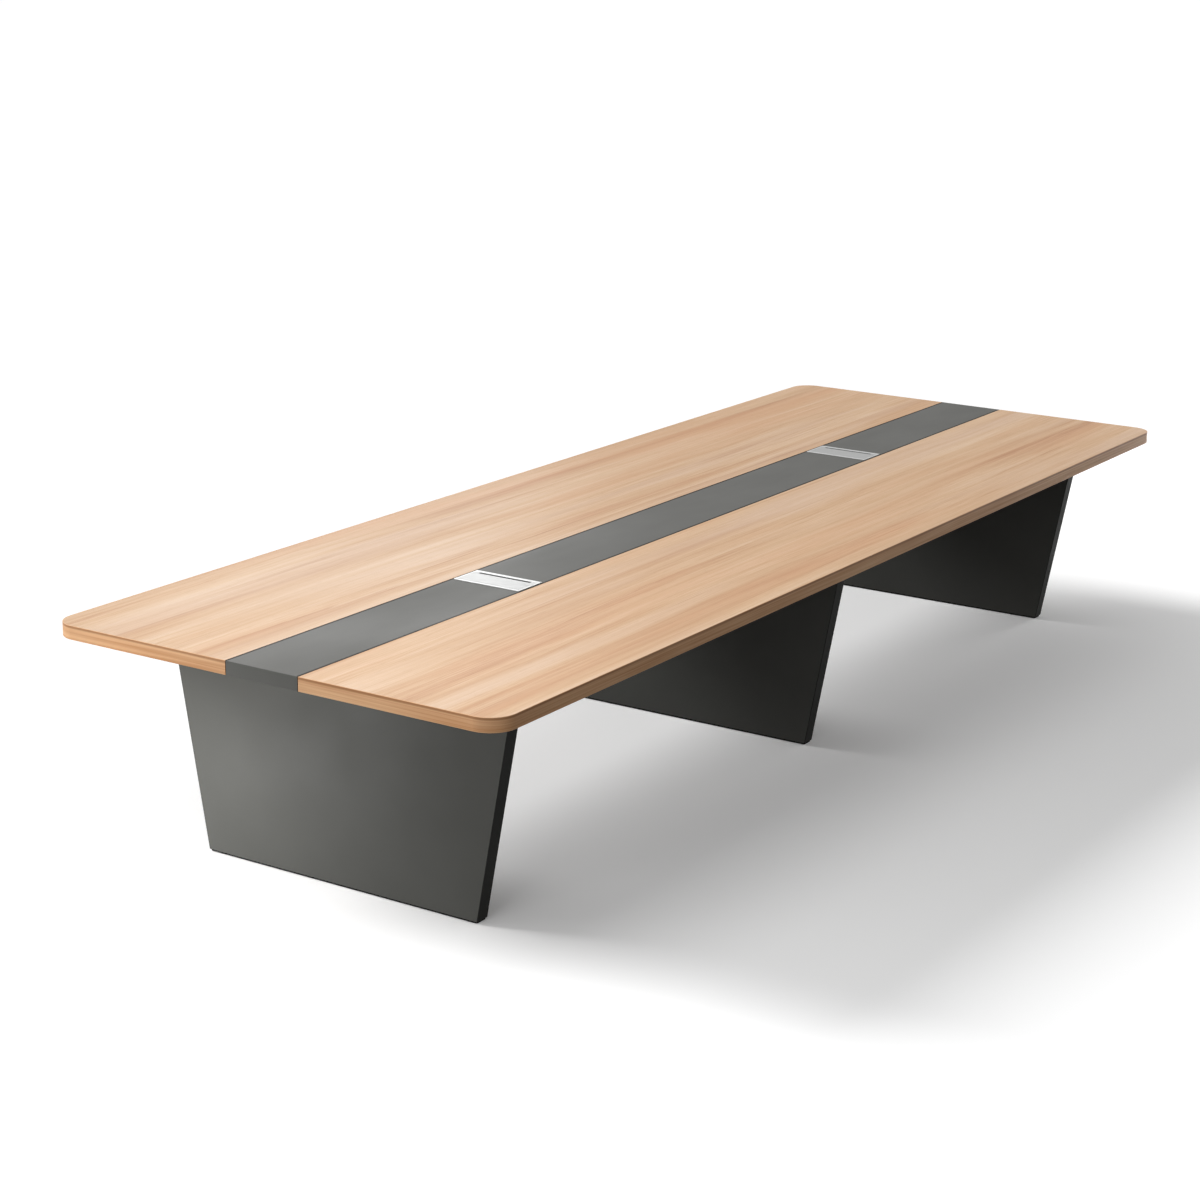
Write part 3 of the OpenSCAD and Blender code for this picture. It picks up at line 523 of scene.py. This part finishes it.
CHIPS_PER_METRE = (190.0, 330.0, 330.0)
CHIP_STOPS = ((0.0, tone(156, 122, 84)), (0.45, tone(183, 150, 110)), (1.0, tone(203, 174, 133)))
CHIP_DUST = tone(190, 165, 128)
CHIP_DUST_SHARE = 0.35


def ramp(tree, share, stops):
    """Runs through two or more colours, each given with its place from 0 to 1."""
    node = add_node(tree, "ValToRGB", {0: share})
    elements = node.color_ramp.elements
    elements[0].position, elements[0].color = stops[0]
    elements[1].position, elements[1].color = stops[-1]
    for place, colour in stops[1:-1]:
        elements.new(place).color = colour
    return node.outputs[0]


chipboard, tree, shader = start_material("raw_particle_board", Specular_Ior_Level=0.2, Roughness=0.85)
spots = add_node(tree, "Mapping", {"Vector": place_on(tree), "Scale": CHIPS_PER_METRE}).outputs[0]
chips = add_node(tree, "TexVoronoi", {"Vector": spots, "Scale": 1.0, "Randomness": 1.0})
chip_tone = add_node(tree, "SeparateColor", {0: chips.outputs["Color"]}).outputs[0]
fine_dust = grain_noise(tree, per_metre=900.0, detail=3.0)
dust_share = calc(tree, "MULTIPLY", fine_dust, CHIP_DUST_SHARE)
paint(tree, shader, blend_colour(tree, dust_share, ramp(tree, chip_tone, CHIP_STOPS), CHIP_DUST))
raise_surface(tree, shader, chips.outputs["Distance"], strength=0.35, depth=0.0004)
dress(chipboard, "front_edge_strips", "rear_edge_strips", "spine_battens")


# Top boards: two leaves of 25 mm board faced with satin wood-look melamine, laid either side of
# the spine. The figure runs the length, with patches, growth lines, streaks, fine grain and pores.

MEAN_OF_NOISE = 0.5
WIDE_SWAY = 0.06
SMALL_SWAY = 0.012
RINGS_PER_METRE = 11.0
RING_SPREAD = 4.0
RING_JITTER = 0.25
RING_SHARPNESS = 2.6
GROWTH_RANGE = (0.0, 0.22)
GROWTH_DEPTH = 0.55
CLUSTER_RANGE = (-0.12, 0.15)
CLUSTER_LEVELS = (0.35, 1.3)
DARK_LINE_RANGE = (0.15, 0.25)
DARK_LINE_DEPTH = 0.4
MEAN_LIGHT = 0.645
PATCH_WEIGHT = 0.7
STREAK_WEIGHT = 0.72
FINE_WEIGHT = 1.05
STREAK_RANGE = (-0.2, 0.2)
WOOD_STOPS = ((0.05, tone(160, 113, 79)), (0.35, tone(185, 144, 110)),
              (0.62, tone(199, 164, 130)), (0.95, tone(213, 184, 154)))
AMBER = tone(199, 151, 114)
AMBER_RANGE = (0.0, 0.2)
AMBER_SHARE = 0.5
CREAM = tone(212, 187, 165)
CREAM_RANGE = (-0.02, -0.2)
CREAM_SHARE = 0.55
PORE_BROWN = tone(140, 100, 68)
PORE_RANGE = (0.6, 0.72)
PORE_SHARE = 0.3


def figure_noise(tree, per_metre, **noise):
    """One scale of the figure, swinging about zero."""
    return calc(tree, "SUBTRACT", grain_noise(tree, per_metre, **noise), MEAN_OF_NOISE)


leaf_wood, tree, shader = start_material("leaf_wood_melamine", Specular_Ior_Level=0.1)
spot = add_node(tree, "SeparateXYZ", {0: place_on(tree)})
wide_sway = figure_noise(tree, per_metre=(0.5, 1.8, 1.0), detail=1.0)
small_sway = figure_noise(tree, per_metre=(1.6, 6.0, 2.0), detail=1.0)
across = calc(tree, "MULTIPLY_ADD", wide_sway, WIDE_SWAY, spot.outputs["Y"])
across = calc(tree, "MULTIPLY_ADD", small_sway, SMALL_SWAY, across)
grown = add_node(tree, "CombineXYZ", {0: spot.outputs["X"], 1: across, 2: spot.outputs["Z"]}).outputs[0]

spread = figure_noise(tree, per_metre=(0.15, 4.0, 1.0), detail=1.0, at=(3.0, 7.0, 0.0))
jitter = figure_noise(tree, per_metre=(2.0, 140.0, 60.0), detail=3.0, place=grown)
rings = calc(tree, "MULTIPLY_ADD", across, RINGS_PER_METRE, calc(tree, "MULTIPLY", spread, RING_SPREAD))
rings = calc(tree, "MULTIPLY_ADD", jitter, RING_JITTER, rings)
growth = calc(tree, "POWER", calc(tree, "FRACT", rings), RING_SHARPNESS)
growth_place = figure_noise(tree, per_metre=(0.4, 7.0, 1.0), at=(0.0, 0.0, 4.0))
growth_depth = remap(tree, growth_place, *GROWTH_RANGE, end=GROWTH_DEPTH)

patches = figure_noise(tree, per_metre=(0.5, 8.0, 3.0), place=grown)
streaks = figure_noise(tree, per_metre=(0.75, 38.0, 30.0), detail=4.0, rough=0.65, place=grown)
cluster_place = figure_noise(tree, per_metre=(0.6, 12.0, 3.0), at=(2.0, 5.0, 0.0), place=grown)
cluster = remap(tree, cluster_place, *CLUSTER_RANGE, *CLUSTER_LEVELS)
fine = figure_noise(tree, per_metre=(2.6, 230.0, 120.0), detail=3.0, rough=0.7, place=grown)
fine = calc(tree, "MULTIPLY", fine, cluster)
line_place = figure_noise(tree, per_metre=(0.5, 85.0, 40.0), at=(1.0, 4.0, 0.0), place=grown)
dark_lines = remap(tree, line_place, *DARK_LINE_RANGE, end=DARK_LINE_DEPTH)

light = calc(tree, "MULTIPLY_ADD", patches, PATCH_WEIGHT, MEAN_LIGHT)
light = calc(tree, "MULTIPLY_ADD", streaks, STREAK_WEIGHT, light)
light = calc(tree, "MULTIPLY_ADD", fine, FINE_WEIGHT, light)
light = calc(tree, "SUBTRACT", light, calc(tree, "MULTIPLY", growth, growth_depth))
light = calc(tree, "SUBTRACT", light, dark_lines)
hue = figure_noise(tree, per_metre=(0.45, 6.0, 3.0), detail=3.0, at=(9.0, 2.0, 0.0), place=grown)
amber_share = remap(tree, hue, *AMBER_RANGE, end=AMBER_SHARE)
cream_share = remap(tree, hue, *CREAM_RANGE, end=CREAM_SHARE)
pores = remap(tree, grain_noise(tree, per_metre=(16.0, 1300.0, 700.0), detail=1.0), *PORE_RANGE)
colour = blend_colour(tree, amber_share, ramp(tree, light, WOOD_STOPS), AMBER)
colour = blend_colour(tree, cream_share, colour, CREAM)
colour = blend_colour(tree, calc(tree, "MULTIPLY", pores, PORE_SHARE), colour, PORE_BROWN)
paint(tree, shader, colour)
roughen(tree, shader, streaks, start=0.54, end=0.46, over=STREAK_RANGE)
raise_surface(tree, shader, calc(tree, "SUBTRACT", fine, pores), strength=0.18, depth=0.00012)
dress(leaf_wood, "front_top_board", "rear_top_board")


# Outer edge bands: 2 mm wood-print plastic glued round each leaf, with rounded arrises. The print
# runs along the band, so it turns with the corners; a thin line of painted shade darkens the band just under
# the top.

PRINT_PER_METRE = (1.4, 1.4, 210.0)
PRINT_STOPS = ((0.36, tone(177, 130, 91)), (0.64, tone(211, 171, 133)))
PAINTED_SHADE_BROWN = tone(120, 74, 42)
PAINTED_SHADE_SHARE = 0.55
# Depths below the top's surface at which the thin line of painted shade sets in, is full from and to, and
# ends.
LINE_SETS_IN = 0.009
LINE_FULL_FROM = 0.006
LINE_FULL_TO = 0.0014
LINE_ENDS = 0.0004

edge_wood, tree, shader = start_material("edge_band_wood_print", Specular_Ior_Level=0.08)
lines = grain_noise(tree, PRINT_PER_METRE, detail=4.0, rough=0.6)
wash = grain_noise(tree, per_metre=(2.0, 2.0, 25.0))
print_colour = ramp(tree, weigh(tree, lines, wash, share=0.65), PRINT_STOPS)
height = add_node(tree, "SeparateXYZ", {0: place_on(tree)}).outputs["Z"]
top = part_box("front_edge_band")[1].z
# Painted shade: a thin dark brown line on the band just under the top's surface.
shade_line_below = remap(tree, height, top - LINE_SETS_IN, top - LINE_FULL_FROM)
shade_line_above = remap(tree, height, top - LINE_ENDS, top - LINE_FULL_TO)
painted_shade_line = calc(tree, "MULTIPLY", calc(tree, "MULTIPLY", shade_line_below, shade_line_above), PAINTED_SHADE_SHARE)
paint(tree, shader, blend_colour(tree, painted_shade_line, print_colour, PAINTED_SHADE_BROWN))
roughen(tree, shader, lines, start=0.5, end=0.4)
raise_surface(tree, shader, lines, strength=0.12, depth=0.0001)
dress(edge_wood, "front_edge_band", "rear_edge_band")


# Inner edge bands: 1 mm plastic glued on the leaves' inner edges, coloured dark brown as painted
# shade. They show as a thin dark line in the open joint along the spine.

INNER_SHADE_DARK = tone(40, 29, 21)
INNER_SHADE_LIGHT = tone(66, 50, 38)

joint_shade_brown, tree, shader = start_material("inner_band_shade_brown", Specular_Ior_Level=0.15)
lines = grain_noise(tree, PRINT_PER_METRE, detail=4.0, rough=0.6)
paint(tree, shader, blend_colour(tree, lines, INNER_SHADE_DARK, INNER_SHADE_LIGHT))
roughen(tree, shader, lines, start=0.6, end=0.5)
dress(joint_shade_brown, "front_inner_band", "rear_inner_band")


# Spine: three lengths of 25 mm board in matt grey melamine between the leaves, with painted shade along
# their long edges where the open joints' shadow falls, and a grey band on each end. They stop at the cable
# boxes, which cover the cut ends.

SPINE_LIGHT = tone(90, 90, 87)
SPINE_DARK = tone(86, 86, 83)
SPINE_ROUGHNESS = 0.55
SPINE_EDGE_SHADE = tone(36, 31, 27)
SPINE_EDGE_WIDTH = 0.0058
SPINE_EDGE_FADE = 0.001
END_LIGHT = tone(85, 85, 82)
END_DARK = tone(80, 80, 77)
END_ROUGHNESS = 0.5

spine_face = grey_melamine("spine_melamine", SPINE_LIGHT, SPINE_DARK, SPINE_ROUGHNESS)
tree = spine_face.node_tree
shader = tree.nodes["Principled BSDF"]
plain = shader.inputs["Base Color"].links[0].from_socket
# Painted shade: a dark strip on the top along both long edges, where the open joint's shadow falls.
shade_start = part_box("middle_spine_board")[1].y - SPINE_EDGE_WIDTH
from_middle = calc(tree, "ABSOLUTE", add_node(tree, "SeparateXYZ", {0: place_on(tree)}).outputs["Y"])
in_edge_shade = remap(tree, from_middle, shade_start, shade_start + SPINE_EDGE_FADE)
paint(tree, shader, blend_colour(tree, in_edge_shade, plain, SPINE_EDGE_SHADE))
dress(spine_face, "near_spine_board", "middle_spine_board", "far_spine_board")
spine_end = grey_melamine("spine_edge_band", END_LIGHT, END_DARK, END_ROUGHNESS)
dress(spine_end, "near_spine_end_band", "far_spine_end_band")


# Angle brackets: pressed steel, zinc plated, screwed to the legs' inner faces and up into the
# strips under the top. Their screws are the same cross-recess pan heads as the rails'.

BRACKET_ROUGHNESS = 0.4

dress(zinc_plate("bracket_zinc", BRACKET_ROUGHNESS), "leg_brackets")
detail_fixings("bracket_screws", cross_screw)


# Cable box frames and lids: extruded aluminium, brushed along the box and clear anodised to a
# pale silver. The frame drops into the spine and the lid flips up on two pins at its near edge.

# The frame is paler than the lid: a painted highlight for the frame's bright edges.
BEZEL_HIGHLIT_LIGHT = tone(190, 190, 189)
BEZEL_HIGHLIT_DARK = tone(176, 177, 177)
LID_LIGHT = tone(166, 166, 165)
LID_DARK = tone(150, 151, 151)
TOUCH_WEIGHT = 0.12


def brushed_aluminium(name, light, dark):
    """Fine and wide lines from the brush, and roughness that also varies where hands have been."""
    material, tree, shader = start_material(name, Metallic=1.0)
    lines = grain_noise(tree, per_metre=(1500.0, 9.0, 1500.0), detail=3.0, rough=0.6)
    wide_lines = grain_noise(tree, per_metre=(160.0, 3.0, 160.0), detail=3.0)
    touched = grain_noise(tree, per_metre=(45.0, 30.0, 45.0), detail=4.0)
    sheen = weigh(tree, lines, wide_lines, share=0.6)
    paint(tree, shader, blend_colour(tree, remap(tree, sheen, *MIDDLE_OF_NOISE), dark, light))
    satin = remap(tree, lines, *MOST_OF_NOISE, start=0.36, end=0.48)
    satin = calc(tree, "MULTIPLY_ADD", touched, TOUCH_WEIGHT, satin)
    tree.links.new(satin, shader.inputs["Roughness"])
    raise_surface(tree, shader, lines, strength=0.15, depth=0.00004)
    return material


highlit_bezel_metal = brushed_aluminium("brushed_frame_highlit", BEZEL_HIGHLIT_LIGHT, BEZEL_HIGHLIT_DARK)
lid_metal = brushed_aluminium("brushed_lid", LID_LIGHT, LID_DARK)
for bay in BAYS:
    dress(highlit_bezel_metal, bay + "_box_bezel")
    dress(lid_metal, bay + "_box_lid")


# Hinge pins and bumpers of the lids: drawn steel pins pressed through the frame's cheeks, and
# small rubber buttons on the ledges that the closed lid rests on.

RUBBER_DARK = tone(20, 20, 20)
RUBBER_LIGHT = tone(40, 40, 39)
BLOOM_RANGE = (0.4, 0.7)
PIN_ROUGHNESS = 0.25

rubber, tree, shader = start_material("black_rubber", Specular_Ior_Level=0.25)
bloom = grain_noise(tree, per_metre=140.0, detail=4.0)
paint(tree, shader, blend_colour(tree, remap(tree, bloom, *BLOOM_RANGE), RUBBER_DARK, RUBBER_LIGHT))
roughen(tree, shader, bloom, start=0.62, end=0.78)
raise_surface(tree, shader, bloom, strength=0.2, depth=0.0001)
pin_steel = zinc_plate("drawn_pin_steel", PIN_ROUGHNESS)
for bay in BAYS:
    dress(pin_steel, bay + "_hinge_pins")
    dress(rubber, bay + "_lid_bumpers")


# Brushes: a plastic backing bar under the frame's far border, with three close rows of black
# nylon bristles that fill the slot in the lid and let cables through.

BACKING_WIDTH = 0.006
BACKING_BEVEL = 0.0004
BRISTLES_PER_ROW = 300
BRISTLE_SIDES = 4
BRISTLE_RADIUS = 0.00024
BRISTLE_ROWS = (0.0022, 0.0029, 0.0036)
BRISTLE_ROOT = 0.0005
BRISTLE_RISE = 0.13
SPLAY = 0.03
DROOP = 0.02
SHORTEST = 0.93
END_MARGIN = 0.001
FIRST_STEP = 0.75
ODD_ROW_SHIFT = 0.5
BRISTLE_DARK = tone(12, 12, 13)
BRISTLE_LIGHT = tone(34, 34, 35)

nylon_black, tree, shader = start_material("bristle_nylon", Specular_Ior_Level=0.4)
streaky = grain_noise(tree, per_metre=(60.0, 1600.0, 1600.0))
paint(tree, shader, blend_colour(tree, streaky, BRISTLE_DARK, BRISTLE_LIGHT))
roughen(tree, shader, streaky, start=0.35, end=0.55)


def backing_bar(low, high):
    """The bar's block between two corners, with its edges bevelled."""
    form = bmesh.new()
    block = Matrix.Translation((low + high) / 2) @ Matrix.Diagonal((*(high - low), 1.0))
    bmesh.ops.create_cube(form, size=1.0, matrix=block)
    bmesh.ops.bevel(form, geom=form.edges[:], offset=BACKING_BEVEL, segments=2, profile=0.5,
                    affect="EDGES", material=-1)
    return form


def bristle():
    """One tapered strand, 1 m long, upright on its root."""
    form = bmesh.new()
    bmesh.ops.create_cone(form, cap_ends=True, segments=BRISTLE_SIDES, radius1=BRISTLE_RADIUS,
                          radius2=BRISTLE_RADIUS / 2, depth=1.0, matrix=Matrix.Translation((0.0, 0.0, 0.5)))
    return form


def bristle_brush(low, high, seed):
    """A brush between two corners: the bar at its far side and the bristles lying towards the near one."""
    draw = random.Random(seed)
    form = bmesh.new()
    bar_low = Vector((high.x - BACKING_WIDTH, low.y, low.z))
    bar_pattern = pattern_of(backing_bar(bar_low, high))
    stamp(form, bar_pattern, Matrix.Identity(4))
    bpy.data.meshes.remove(bar_pattern)
    pattern = pattern_of(bristle())
    pitch = (high.y - low.y - 2 * END_MARGIN) / (BRISTLES_PER_ROW + 1)
    for row, lift in enumerate(BRISTLE_ROWS):
        for step in range(BRISTLES_PER_ROW):
            across = low.y + END_MARGIN + (step + FIRST_STEP + row % 2 * ODD_ROW_SHIFT) * pitch
            root = Matrix.Translation((bar_low.x + BRISTLE_ROOT, across, low.z + lift))
            aim = Vector((-1.0, draw.uniform(-SPLAY, SPLAY), BRISTLE_RISE + draw.uniform(-DROOP, DROOP)))
            length = (bar_low.x - low.x) * draw.uniform(SHORTEST, 1.0)
            turn = aim.to_track_quat("Z", "Y").to_matrix().to_4x4()
            stamp(form, pattern, root @ turn @ Matrix.Diagonal((1.0, 1.0, length, 1.0)))
    bpy.data.meshes.remove(pattern)
    return form


for seed, bay in enumerate(BAYS):
    brush = bristle_brush(*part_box(bay + "_box_brush"), seed)
    new_piece(bay + "_bristle_brush", brush, "table", nylon_black, bay + "_box_brush")


# Tubs, grommets and tub screws: each box hangs a folded steel tub, powder coated black, with a
# rubber grommet in its floor where the cables leave, screwed to the frame's cheeks.

TUB_LIGHT = tone(44, 44, 45)
TUB_DARK = tone(36, 36, 37)
TUB_ROUGHNESS = 0.55

tub_paint = powder_coat("tub_powder_coat", TUB_LIGHT, TUB_DARK, TUB_ROUGHNESS)
for bay in BAYS:
    dress(tub_paint, bay + "_box_tub")
    dress(rubber, bay + "_outlet_grommet")
    detail_fixings(bay + "_tub_screws", cross_screw)


# Studio: a plain white floor without a horizon, an even surround, a soft key from the rear, a low
# strip and a softbox at the near end, one overhead, one low down beyond the far end, and one that
# shows only as a sheen.

WHITE = (1.0, 1.0, 1.0, 1.0)
FLOOR_SIZE = 400.0
FLOOR_BOUNCE = tone(50, 50, 50)
FLOOR_GLOW = 0.05
SURROUND = 0.45
KEY_FROM = Vector((-0.18, 0.82, 0.505))
KEY_DISTANCE = 8.0
KEY_LEVEL = 1.0
KEY_SPREAD = math.radians(20)
STRIP_SPREAD = math.radians(100)
FULL_SPREAD = math.radians(180)


def background_share(tree):
    """1 where a ray comes from the camera or from a reflection or through glass, else 0."""
    path = add_node(tree, "LightPath", {})
    shown = calc(tree, "MAXIMUM", path.outputs["Is Camera Ray"], path.outputs["Is Glossy Ray"])
    return calc(tree, "MAXIMUM", shown, path.outputs["Is Transmission Ray"])


floor_form = bmesh.new()
bmesh.ops.create_grid(floor_form, x_segments=1, y_segments=1, size=FLOOR_SIZE / 2)
floor_mesh = bpy.data.meshes.new("floor")
floor_form.to_mesh(floor_mesh)
floor_form.free()
floor = bpy.data.objects.new("floor", floor_mesh)
bpy.context.scene.collection.objects.link(floor)
floor_paint, tree, shader = start_material("floor_white", Roughness=0.9, Specular_Ior_Level=0.0,
                                           Emission_Color=WHITE)
shown = background_share(tree)
paint(tree, shader, blend_colour(tree, shown, FLOOR_BOUNCE, WHITE))
tree.links.new(calc(tree, "MULTIPLY", shown, FLOOR_GLOW), shader.inputs["Emission Strength"])
floor_mesh.materials.append(floor_paint)

world = bpy.data.worlds.new("studio")
bpy.context.scene.world = world
world.use_nodes = True
tree = world.node_tree
surround = tree.nodes["Background"]
surround.inputs["Color"].default_value = WHITE
surround.inputs["Strength"].default_value = SURROUND
backdrop = add_node(tree, "Background", {"Color": WHITE, "Strength": 1.0})
both = {0: background_share(tree), 1: surround.outputs[0], 2: backdrop.outputs[0]}
sky = add_node(tree, "MixShader", both).outputs[0]
tree.links.new(sky, tree.nodes["World Output"].inputs["Surface"])


def add_lamp(name, kind, place, aim, **settings):
    """A lamp that shines from a place towards an aim, hidden from the camera."""
    lamp = bpy.data.lights.new(name, kind)
    for setting, value in settings.items():
        setattr(lamp, setting, value)
    holder = bpy.data.objects.new(name, lamp)
    holder.location = place
    holder.rotation_euler = (Vector(aim) - Vector(place)).to_track_quat("-Z", "Y").to_euler()
    holder.visible_camera = False
    bpy.context.scene.collection.objects.link(holder)
    return holder


def add_softbox(name, place, aim, watts, width, height, spread=FULL_SPREAD):
    return add_lamp(name, "AREA", place, aim, energy=watts, shape="RECTANGLE", size=width, size_y=height,
                    spread=spread)


add_lamp("key", "SUN", KEY_FROM * KEY_DISTANCE, aim=(0.0, 0.0, 0.0),
         energy=KEY_LEVEL * math.pi, angle=KEY_SPREAD)
add_softbox("low_strip", place=(-2.9, 0.78, 0.12), aim=(-1.93, 0.55, 0.2),
            watts=5.2, width=0.4, height=0.2, spread=STRIP_SPREAD)
add_softbox("near_softbox", place=(-5.6, -0.6, 0.95), aim=(-2.0, -0.2, 0.6),
            watts=55.0, width=2.4, height=1.0)
add_softbox("overhead_softbox", place=(-2.6, -0.2, 3.0), aim=(-2.1, -0.2, 0.75),
            watts=20.0, width=1.6, height=1.6)
add_softbox("far_softbox", place=(5.8, -1.2, 0.6), aim=(2.8, -1.4, 0.0),
            watts=75.0, width=1.2, height=0.25)
sheen = add_softbox("sheen_softbox", place=(1.0, 2.45, 1.95), aim=(-2.0, 0.05, 0.75),
                    watts=28.0, width=2.1, height=1.4)
sheen.visible_diffuse = False


# Camera: set where the photograph was taken from, off the near front corner and well above the
# table, with a short telephoto lens and a slight roll.

CAMERA_PLACE = (-7.438, -4.502, 2.878)
CAMERA_HEADING = math.radians(33.164)
CAMERA_PITCH = math.radians(15.762)
CAMERA_ROLL = math.radians(0.66)
CAMERA_LENS = 77.7
SENSOR_WIDTH = 36.0

lens = bpy.data.cameras.new("camera")
lens.sensor_width = SENSOR_WIDTH
lens.lens = CAMERA_LENS
lens.clip_end = FLOOR_SIZE
camera = bpy.data.objects.new("camera", lens)
camera.location = CAMERA_PLACE
turn = Matrix.Rotation(CAMERA_HEADING - math.pi / 2, 3, "Z")
tilt = Matrix.Rotation(math.pi / 2 - CAMERA_PITCH, 3, "X")
roll = Matrix.Rotation(CAMERA_ROLL, 3, "Z")
camera.rotation_euler = (turn @ tilt @ roll).to_euler()
bpy.context.scene.collection.objects.link(camera)
bpy.context.scene.camera = camera
bpy.context.scene.view_settings.view_transform = "Standard"
